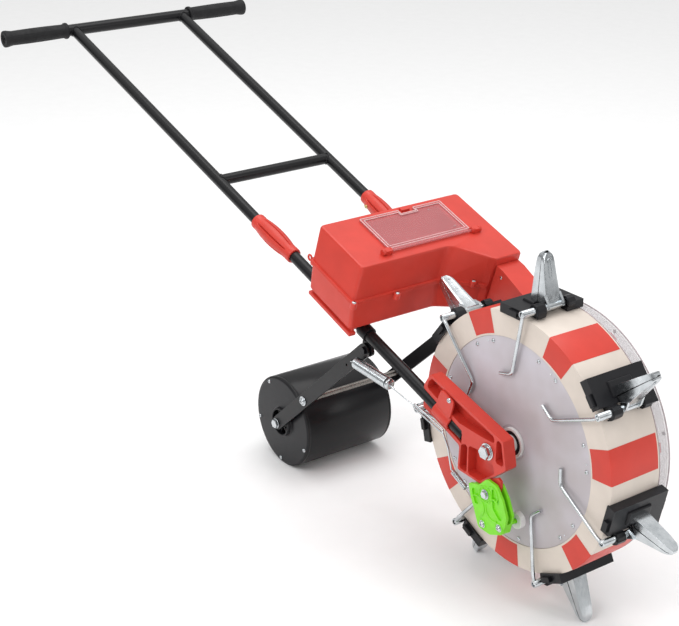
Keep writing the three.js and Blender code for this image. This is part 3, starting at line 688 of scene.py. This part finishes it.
def make_hopper():
    """The tub and chute, with the small parts on the seam, the lid's hinge and the foot."""
    softened("hopper_lower", 1.6, segments=3)
    softened("hopper_upper", 1.8, segments=3)
    softened("seed_chute", 1.4, segments=3)
    boss_top = SEAM + 7
    bosses = [rod(5.2, (x, y, SEAM - 4), (x, y, boss_top), 24, 0.8) for x, y in SEAM_BOSSES]
    hopper_piece("seam_bosses", together(*bosses), "hopper_lower", crease=34, bevel=0.6)
    screws = [screw((x, y, boss_top), (0, 0, 1), 3.6) for x, y in SEAM_BOSSES]
    screws += [screw((x, 98.2, z), (0, -1, 0), 3.2) for x, z in CHUTE_SCREWS]
    hopper_piece("hopper_screws", together(*screws), "axle_bolt")

    ear = swept(arc((81, -141, SEAM + 1.5), 4.4), 1.7, 10, loop=True)
    hopper_piece("ring_ear", ear, "hopper_lower", crease=60)

    knobs = [rod(5.2, (173, y0, 119), (173, y1, 119), 28, 0.9)
             for y0, y1 in [(-79.5, -73.5), (-65, -61.5), (97, 101), (109.8, 115.5)]]
    hopper_piece("hinge_knobs", together(*knobs), "hopper_upper", crease=34)

    steps = [(98, 208, 131, 136.5, 3, 14), (95, 211, 129, 141.5, 0.5, 6.5)]
    rails = []
    for sign in (-1, 1):
        for x0, x1, inner, outer, z0, z1 in steps:
            rails.append(brick(x0, x1, *sorted((sign * inner, sign * outer)), z0, z1))
    hopper_piece("bottom_step", together(*rails), "hopper_lower", crease=34, bevel=1.0)

    make_lid()


def make_lid():
    """The clear lid, with its raised rim and moulded lines."""
    softened("hopper_lid", 0.6, material=TINTED_LID)
    lines = []
    for inset, width in ((0, 0.8), (4.6, 0.7)):
        rear = 86.4 + inset
        front = 166.6 - inset
        near = -61.6 + inset
        far = 97.6 - inset
        notch = 95.6 + inset * 0.6
        notch_near = 13 - inset * 0.5
        notch_far = 43 + inset * 0.5
        corners = [(rear, -30), (rear, near), (front, near), (front, far), (rear, far),
                   (rear, notch_far), (notch, notch_far), (notch, notch_near), (rear, notch_near),
                   (rear, -29)]
        route = bent([(x, y, LID_FACE) for x, y in corners], 1, 4)
        lines.append(swept(route, width, 8))
    hopper_piece("lid_lines", together(*lines), "hopper_lid", crease=60, material=LID_LINE)
    marks = [rod(1.6, (x, y, 117), (x, y, 118.4), 16, 0.3) for x, y in [(100, 66), (152, 80)]]
    hopper_piece("lid_gate_marks", together(*marks), "hopper_lid", crease=34)


# ---- press roller ----
def make_roller():
    """The arms, the two rods between them, and the drum with its caps."""
    for side in SIDES:
        softened(f"roller_arm_{side}", 0.5)
    tie_rod_at = ARM_PIVOT.lerp(ROLLER, TIE_ROD_SHARE)
    reach = Vector((0, TIE_ROD_HALF, 0))
    piece("tie_rod_steel", rod(5, tie_rod_at - reach, tie_rod_at + reach), "tie_rod", ["tie_rod"],
          material=BARE_STEEL)
    shaft_end = Vector((0, 107, 0))
    shaft = [rod(5, ROLLER - shaft_end, ROLLER + shaft_end)]
    for sign in SIDES.values():
        away = Vector((0, sign, 0))
        arm_face = ROLLER + away * 102.3
        shaft.append(washer(9, 4.8, 1.8, arm_face, away))
        shaft.append(hexagon(14.5, arm_face + away * 1.8, away, 4.2))
        shaft.append(rod(8, ROLLER + away * 91.4, ROLLER + away * 97.6))
    piece("roller_axle_steel", together(*shaft), "roller_axle", ["roller_axle"], bevel=0.3, crease=30)
    for side, sign in SIDES.items():
        away = Vector((0, sign, 0))
        at = tie_rod_at + away * 102
        head = together(washer(8.6, 0, 1.7, at, away), screw(at + away * 1.6, away, 6, 3.6))
        piece(f"tie_rod_screw_{side}", head, "tie_rod")

    width = 2 * ROLLER_HALF
    skin = ROLLER_RADIUS
    near_edge = [(skin - 1.6, 0), (skin - 1.2, 0), (skin - 0.3, 0.5), (skin, 1.6), (skin, 4.0),
                 (skin - 0.4, 4.8), (skin, 5.6)]
    far_edge = [(radius, width - distance) for radius, distance in reversed(near_edge)]
    half = Vector((0, ROLLER_HALF, 0))
    drum = turned(near_edge + far_edge, ROLLER - half, ROLLER + half, 128)
    piece("roller_skin", drum, "roller_drum", ["roller_drum"], crease=50)
    for side, sign in SIDES.items():
        make_roller_cap(side, sign)


def make_roller_cap(side, sign):
    """A domed end cap with a ribbed hub sunk into its middle."""
    rim = ROLLER_RADIUS - 1.8
    face = ROLLER + Vector((0, sign * (ROLLER_HALF + 1.5), 0))
    inward = Vector((0, -sign, 0))
    profile = [(5.6, 2.2), (9.6, 2.2), (10.2, 1.6), (10.6, 1.0), (11.4, 1.0), (12, 1.6), (12, 9),
               (22.6, 9), (22.6, -4.8), (23.2, -5.5), (25.0, -5.5), (25.6, -4.8), (26.4, 0.4),
               (27.4, 1.2), (31, 1.4), (rim - 4, 0.3), (rim - 1.6, 0.5), (rim - 0.5, 1.4),
               (rim, 2.6), (rim, 7), (29, 7), (29, 11), (5.6, 11)]
    shapes = [turned(profile, face, face + inward, 112)]
    ribs = 8
    for k in range(ribs):
        rib = brick(-1.3, 1.3, 0.5, 9.2, 11.4, 23.4)
        rib = moved(rib, Matrix.Rotation(2 * math.pi * (k + 0.25) / ribs, 4, "Y"))
        if sign > 0:
            rib = mirrored(rib)
        shapes.append(moved(rib, Matrix.Translation(face)))
    cap = f"roller_cap_{side}"
    piece(f"{cap}_moulding", together(*shapes), cap, [cap], crease=40)
    screws = []
    for k in range(5):
        spot = face + about_y(74, math.radians(-22.8 + 72 * k)) + inward * 0.2
        screws.append(screw(spot, -inward, 3.6))
    piece(f"roller_cap_screws_{side}", together(*screws), "axle_bolt", body=BODY_OF["roller_drum"])


# ---- planting wheel ----
def round_axle(profile, angles):
    """The corners of a profile of (radius, y) carried round the axle."""
    return [about_y(radius, angle, y) for angle in angles for radius, y in profile]


def make_rim():
    """The drum, and the raised red patch between each two beaks that wraps its corner."""
    angles = []
    between = STEP - PATCH_WIDTH
    for i in range(BEAKS):
        middle = patch_middle(i)
        angles += [middle - PATCH_WIDTH / 2 + PATCH_WIDTH * k / 4 for k in range(5)]
        angles += [middle + PATCH_WIDTH / 2 + between * k / 9 for k in range(1, 9)]
    skin = DRUM_RADIUS
    edge = DRUM_HALF
    profile = [(160.6, -edge), (164, -edge), (skin - 2.2, -edge), (skin - 0.5, 0.4 - edge),
               (skin, 1.8 - edge), (skin - 0.6, 0), (skin - 1.4, edge - 2), (skin - 1.8, edge - 0.4),
               (skin - 2.6, edge), (186, edge), (186, edge - 2.5), (skin - 4.4, edge - 2.5),
               (skin - 3, 2.5 - edge), (160.6, 2.5 - edge)]
    count = len(angles)
    faces = bands([(i, (i + 1) % count) for i in range(count)], len(profile))
    piece("rim_drum", closed(round_axle(profile, angles), faces), "wheel_rim", ["wheel_rim"], crease=40)

    lift = 0.35
    steps = 6
    raised = [(163.5, -edge - lift), (skin - 2.1, -edge - lift), (skin - 0.2, 0.1 - edge),
              (skin + lift, 1.8 - edge), (skin - 0.6 + lift, 0), (skin - 1.4 + lift, 43.5)]
    sunk = [(skin - 2.2, 43.5), (skin - 1.4, 0), (skin - 0.8, 1.8 - edge), (skin - 0.5, 1.2 - edge),
            (skin - 2.2, 0.8 - edge), (163.5, 0.8 - edge)]
    loop = raised + sunk
    rows = len(loop)
    faces = bands([(k, k + 1) for k in range(steps)], rows)
    for base in (0, steps * rows):
        faces += [(base + j, base + j + 1, base + rows - 2 - j, base + rows - 1 - j)
                  for j in range(rows // 2 - 1)]
    patches = []
    for i in range(BEAKS):
        angles = [patch_middle(i) + PATCH_WIDTH * (k / steps - 0.5) for k in range(steps + 1)]
        patches.append(closed(round_axle(loop, angles), faces))
    piece("rim_patches", together(*patches), "wheel_rim", material=MATERIALS["red_plastic"], crease=40)


def disc(profile, segments=144):
    """A shape of the wheel, turned from (radius, y) pairs about the axle."""
    return turned(profile, (0, 0, 0), (0, 1, 0), segments)


def make_wheel():
    """The rim, the near plate, the clear cover and the hub."""
    make_rim()
    front = PLATE_FACE
    back = PLATE_FACE + 1.8
    plate = [(23.5, front), (26, front), (27.5, front - 0.7), (29, front), (60, front),
             (138, front), (146, front), (158.6, front), (160.1, front + 0.4),
             (160.3, front + 1.2), (160.3, back), (23.5, back)]
    piece("plate_disc", disc(plate), "side_plate", ["side_plate"], crease=40)
    cover = [(195.8, 47.3), (198.2, 47.3), (198.0, 50), (193.6, 70.6), (192.6, COVER_FACE - 1),
             (190.6, COVER_FACE), (76, COVER_FACE), (74.4, COVER_FACE - 0.6),
             (74, COVER_FACE - 2), (189.4, COVER_FACE - 2), (191.0, 70.6), (195.4, 50)]
    piece("cover_shell", disc(cover), "clear_cover", ["clear_cover"], crease=40)
    inner_edge = [(195.2, 47.2), (198.6, 47.2), (198.9, 47.7), (198.6, 48.3), (195.2, 48.3)]
    outer_edge = [(190.4, 73.0), (192.4, 73.0), (192.9, 73.5), (192.4, 74.2), (190.4, 74.2)]
    edges = together(disc(inner_edge), disc(outer_edge))
    piece("cover_edges", edges, "clear_cover", crease=40, material=CLEAR_EDGE)
    hub = [(6.6, -56.5), (12, -56.5), (13, -55.8), (13, -49.6), (18.4, -49.6), (19.2, -50.6),
           (22.6, -50.6), (23.2, -50.0), (23.2, -44.4), (30, -44.4), (30, -41), (13, -41),
           (13, 57), (6.6, 57)]
    piece("hub_moulding", disc(hub, 72), "wheel_hub", ["wheel_hub"], crease=40)
    bearing = [(13.1, -50.4), (18.3, -50.4), (19.0, -49.9), (19.0, -49.3), (13.1, -49.3)]
    piece("hub_bearing", disc(bearing, 72), "wheel_hub", material=MATERIALS["black_plastic"])
    make_wheel_screws()
    make_cover_lugs()


def make_wheel_screws():
    """For each beak, two screws and a rivet on the plate and one screw on the cover."""
    heads = []
    for i in range(BEAKS):
        top = math.pi / 2 + STEP * i
        for offset in (-17.5, 19.3):
            spot = about_y(152.3, top + math.radians(offset), PLATE_FACE - 0.1)
            heads.append(screw(spot, (0, -1, 0), 3.4))
        rivet = top + math.radians(23.6)
        heads.append(rod(1.3, about_y(153, rivet, PLATE_FACE + 0.1),
                         about_y(153, rivet, PLATE_FACE - 0.7), 14, 0.3))
        spot = about_y(183, top - math.radians(22.5), COVER_FACE + 0.1)
        heads.append(screw(spot, (0, 1, 0), 3.0))
    piece("plate_screws", together(*heads), "axle_bolt", body=BODY_OF["side_plate"])


def make_cover_lugs():
    """The red lugs between the drum and the clear cover, one under each patch."""
    lugs = []
    for i in range(BEAKS):
        lug = brick(-7, 7, 49, 56, 188.5, 193.5)
        lugs.append(moved(lug, Matrix.Rotation(math.pi / 2 - patch_middle(i), 4, "Y")))
    piece("cover_lugs", together(*lugs), "clear_cover", material=MATERIALS["red_plastic"], bevel=0.5)


def make_station(i):
    """Beak i: its base, its fixed half, and the hinged half with its lever."""
    number = i + 1
    turn = station(i)
    softened(f"beak_base_{number}", 0.9)
    softened(f"fixed_beak_{number}", 0.5)
    collar = level_slab([(-19.5, -20.5), (2, -20.5), (2, 20.5), (-19.5, 20.5)], 210.8, 214.2, 2.2)
    hook = slab([(20, 220.8), (26.5, 219), (30.5, 214), (31.2, 207), (29.5, 200), (27.6, 200.2),
                 (27.5, 204), (20, 204)], -38, -21)
    fittings = moved(together(collar, hook), turn)
    piece(f"beak_fittings_{number}", fittings, f"beak_base_{number}", crease=34, bevel=0.9)
    flap = f"beak_flap_{number}"
    piece(flap + "_sheet", moved(beak_face(), turn), flap, bevel=0.4, crease=34)
    sleeve = pipe(5.5, 3.4, (HINGE_X, -61, HINGE_Z), (HINGE_X, 28.5, HINGE_Z), 28)
    route = [(HINGE_X, -57.5, HINGE_Z + 1), (HINGE_X, -58.5, HINGE_Z - 8), (-3, -51.6, 109),
             (-28, -51.4, 102)]
    lever = together(sleeve, swept(bent(route, 7), 2.9, 16))
    piece(flap + "_lever", moved(lever, turn), flap, crease=50, stands_for=[flap])


def beak_back(share):
    """How far forward the back of a hinged beak stands, at a share of the way to its tip."""
    return 23.2 - 17.8 * share ** 0.82


def beak_ring(share):
    """The trough section of a hinged beak as x, y pairs, at a share of the way to its tip."""
    z = BEAK_LOW + (BEAK_HIGH - BEAK_LOW) * share
    near_tip = max(0, (z - BEAK_ROUND_FROM) / (BEAK_HIGH - BEAK_ROUND_FROM))
    half = 14.2 - 4.6 * share ** 1.1 - 5.2 * (1 - math.sqrt(max(0, 1 - near_tip ** 2)))
    back = beak_back(share) - 0.9 * near_tip
    edge = min(3.2 - 1.1 * share, back - 2.3)
    inside = back - BEAK_WALL
    lip = half - BEAK_WALL
    corner = 1.6
    return [(edge, -half), (back - corner, -half), (back - 0.4, 0.5 - half), (back, corner - half),
            (back, -half * 0.55), (back - 0.2, -half * 0.48), (back - 0.2, half * 0.48),
            (back, half * 0.55), (back, half - corner), (back - 0.4, half - 0.5),
            (back - corner, half), (edge, half), (edge, lip), (inside, lip), (inside, -lip),
            (edge, -lip)]


def beak_face():
    """The hinged half of a beak: a tapered trough with a rounded tip and a pressed crease."""
    rows = 26
    tall = BEAK_HIGH - BEAK_LOW
    rings = [beak_ring(k / rows) for k in range(rows + 1)]
    count = len(rings[0])
    verts = [(x, y, BEAK_LOW + tall * k / rows) for k, ring in enumerate(rings) for x, y in ring]
    faces = bands([(k, k + 1) for k in range(rows)], count)
    faces += [tuple(reversed(range(count))), tuple(range(rows * count, (rows + 1) * count))]
    trough = shape_of(verts, faces)
    bmesh.ops.triangulate(trough, faces=[f for f in trough.faces if len(f.verts) > 4])
    bmesh.ops.recalc_face_normals(trough, faces=trough.faces)
    ears = [slab([(12, 213), (27, 209), (25, 217), (17, 228)], y0, y1)
            for y0, y1 in [(-16, -12), (12, 16)]]

    def on_back(y, z):
        return Vector((beak_back((z - BEAK_LOW) / tall) - 0.1, y, z))

    half = 2.4
    crease = [on_back(-half, z) for z in range(250, 274, 4)]
    for k in range(9):
        angle = math.pi * (k / 8 - 0.5)
        crease.append(on_back(half * math.sin(angle), 274 + half * math.cos(angle)))
    crease += [on_back(half, z) for z in range(270, 248, -4)]
    return together(trough, swept(crease, 0.6, 8), *ears)


# ---- opening cam and its linkage ----
def make_cam():
    """The green arm with its moulded ribs, its pivot and screws, and the white roller."""
    softened("cam_arm", 0.6, 30)
    softened("cam_roller", 0.8)
    rib_level = CAM_FACE - 0.4
    middle = Vector((CAM_PIVOT_X, rib_level, CAM_PIVOT_Z))
    ribs = []
    spokes = 7
    for k in range(spokes):
        angle = math.radians(20 + 360 * k / spokes)
        ribs.append(swept([middle + about_y(8, angle), middle + about_y(13, angle)], 1.1, 8))
    arcs = [(CAM_PIVOT_X, CAM_PIVOT_Z, 13, 0, 360)]
    arcs += [(x, z, 7, 0, 360) for x, z in CAM_SCREWS]
    arcs += [(24, -84, 17, 60, 300), (-12, -92, 16, -60, 120), (20, -60, 12, -40, 140)]
    for x, z, radius, first, last in arcs:
        route = arc((x, rib_level, z), radius, first, last)
        ribs.append(swept(route, 1.3, 8, loop=last - first == 360))
    piece("cam_ribs", together(*ribs), "cam_arm", crease=50)
    pivot = together(
        turned([(0, 0), (7.4, 0), (7.8, 0.4), (7.8, 1.2), (0, 1.2)],
               (CAM_PIVOT_X, -101, CAM_PIVOT_Z), (CAM_PIVOT_X, -110, CAM_PIVOT_Z)),
        hexagon(10.6, (CAM_PIVOT_X, -102.1, CAM_PIVOT_Z), (0, -1, 0), 3.6))
    piece("cam_pivot_head", pivot, "cam_pivot_bolt", ["cam_pivot_bolt"], bevel=0.3, crease=30)
    heads = []
    for x, z in CAM_SCREWS:
        heads.append(turned([(0, 0), (6, 0), (6.3, 0.3), (6.3, 1.0), (0, 1.0)],
                            (x, -100.5, z), (x, -110, z)))
        heads.append(screw((x, -101.4, z), (0, -1, 0), 4.6, 3))
    piece("cam_screws", together(*heads), "axle_bolt", body=BODY_OF["cam_arm"])


def coil(start, end, radius, wire, turns):
    """A close-wound spring without its end hooks."""
    axis = (end - start).normalized()
    u = axis.orthogonal().normalized()
    v = axis.cross(u)
    per_turn = 18
    steps = turns * per_turn
    route = []
    for k in range(steps + 1):
        angle = 2 * math.pi * k / per_turn
        route.append(start.lerp(end, k / steps) + (u * math.cos(angle) + v * math.sin(angle)) * radius)
    return swept(route, wire, 9)


def make_tension_spring():
    """The large spring, stretched from the roller arm's hook to the pull wire."""
    rear = TENSION_REAR
    front = TENSION_FRONT
    wire = 1.4
    rear_hook = [ARM_HOOK + Vector((0, 5, 2)), ARM_HOOK, rear + Vector((-6, 0, -1)),
                 rear + Vector((4, 0, 8))]
    front_hook = [front + Vector((-3, 0, -7)), front + Vector((7, 0, -1)), WIRE_START]
    cap = turned([(0, 0), (8, 0), (9, 1), (9, 4), (7.5, 5.5), (0, 5.5)],
                 front + Vector((1.5, 0, 0)), front + Vector((9, 0, -0.5)), 32)
    hooks = together(swept(bent(rear_hook, 4), wire), swept(bent(front_hook, 4), wire), cap)
    shape = together(coil(rear, front, 8.0, 1.45, 30), hooks)
    spring = piece("tension_coil", shape, "tension_spring", ["tension_spring"], crease=60)
    spring.parent = None
    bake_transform(spring)


def make_pull_wire():
    """The wire from the large spring, its long double link, and the tail down to the cam spring."""
    far = LINK_REAR
    near = LINK_FRONT
    half = 3.2
    wire = 1.5
    along = (near - far).normalized()
    side = Vector((0, 1, 0)).cross(along).normalized() * half
    link = [swept(bent([far + side * s, near + side * s], 1), wire) for s in (-1, 1)]
    for spot, sign in ((far, -1), (near, 1)):
        angles = [math.pi * k / 8 for k in range(9)]
        link.append(swept([spot + side * math.cos(angle) + along * sign * half * math.sin(angle)
                           for angle in angles], wire))
    lead = swept(bent([WIRE_START, (-178, -108, 19), far - along * 3], 6), 0.9)
    tail_route = [near + along * 2, (-84, -99.5, -26), (-79, -98.5, -50), CAM_SPRING_TOP]
    tail = swept(bent(tail_route, 8), wire)
    piece("pull_wire", together(*link, lead, tail), "pull_link", ["pull_link"], crease=60)


def make_cam_spring():
    """The small spring, stretched from the pull wire to the green arm."""
    top = CAM_SPRING_TOP
    foot = CAM_SPRING_FOOT
    wire = 0.75
    outward = Vector((0, 0, 3.4))
    top_hook = [top, top.lerp(foot, 0.06), top.lerp(foot, 0.12) + outward]
    foot_hook = [top.lerp(foot, 0.87) + outward, top.lerp(foot, 0.92), foot + Vector((7, 0, -1))]
    shape = together(coil(top.lerp(foot, 0.1), top.lerp(foot, 0.88), 3.6, wire, 18),
                     swept(bent(top_hook, 1), wire), swept(bent(foot_hook, 1), wire))
    spring = piece("cam_coil", shape, "cam_spring", ["cam_spring"], crease=60)
    spring.parent = None
    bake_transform(spring)


# ---- stage ----
def soft_light(name, at, aim, size, power):
    light = bpy.data.lights.new(name, "AREA")
    light.shape = "RECTANGLE"
    light.size, light.size_y = size
    light.energy = power
    lamp = bpy.data.objects.new(name, light)
    lamp.location = at
    lamp.rotation_mode = "QUATERNION"
    lamp.rotation_quaternion = (Vector(aim) - Vector(at)).to_track_quat("-Z", "Y")
    bpy.context.scene.collection.objects.link(lamp)


def make_stage():
    """A wide pale floor, a sky that is greyer towards the horizon, and three soft lights."""
    mesh = bpy.data.meshes.new("floor")
    corners = [(x * FLOOR_HALF, y * FLOOR_HALF, 0) for x, y in [(-1, -1), (1, -1), (1, 1), (-1, 1)]]
    mesh.from_pydata(corners, [], [(0, 1, 2, 3)])
    floor = bpy.data.objects.new("floor", mesh)
    bpy.context.scene.collection.objects.link(floor)
    paper = finish("floor_paper", (0.95, 0.95, 0.95), 0.85, mottle=0.01, grain=0.05, specular=0.1)
    mesh.materials.append(paper)
    world = bpy.data.worlds.new("studio")
    world.use_nodes = True
    tree = world.node_tree
    backdrop = tree.nodes["Background"]
    backdrop.inputs["Strength"].default_value = WORLD_STRENGTH
    height = tree.nodes.new("ShaderNodeSeparateXYZ")
    tree.links.new(tree.nodes.new("ShaderNodeTexCoord").outputs["Generated"], height.inputs["Vector"])
    ramp = tree.nodes.new("ShaderNodeValToRGB")
    tree.links.new(height.outputs["Z"], ramp.inputs["Fac"])
    tree.links.new(ramp.outputs["Color"], backdrop.inputs["Color"])
    ramp.color_ramp.elements[0].color = (HORIZON_GREY,) * 3 + (1,)
    ramp.color_ramp.elements[1].color = (1, 1, 1, 1)
    ramp.color_ramp.elements[1].position = 0.75
    bpy.context.scene.world = world
    centre = (0, 0, 0.3)
    soft_light("key", (0.6, -2.4, 2.4), centre, (1.6, 1.0), 27)
    soft_light("top", (-0.4, 0.4, 3.4), centre, (2.6, 2.0), 44)
    soft_light("front", (3.0, 1.2, 1.6), centre, (0.8, 1.6), 14)
    bpy.context.scene.view_settings.view_transform = "Standard"


def make_camera():
    """A long lens that looks down on the wheel's side of the machine."""
    data = bpy.data.cameras.new("camera")
    data.sensor_width = 36
    data.lens = CAMERA_LENS
    camera = bpy.data.objects.new("camera", data)
    camera.location = CAMERA_AT
    level = CAMERA_DIRECTION.to_track_quat("-Z", "Y").to_matrix()
    camera.rotation_euler = (level @ Matrix.Rotation(CAMERA_ROLL, 3, "Z")).to_euler()
    bpy.context.scene.collection.objects.link(camera)
    bpy.context.scene.camera = camera


make_camera()
make_handle()
make_lower_frame()
make_axle()
make_hopper()
make_roller()
make_wheel()
for number in range(BEAKS):
    make_station(number)
make_cam()
make_tension_spring()
make_pull_wire()
make_cam_spring()
make_stage()
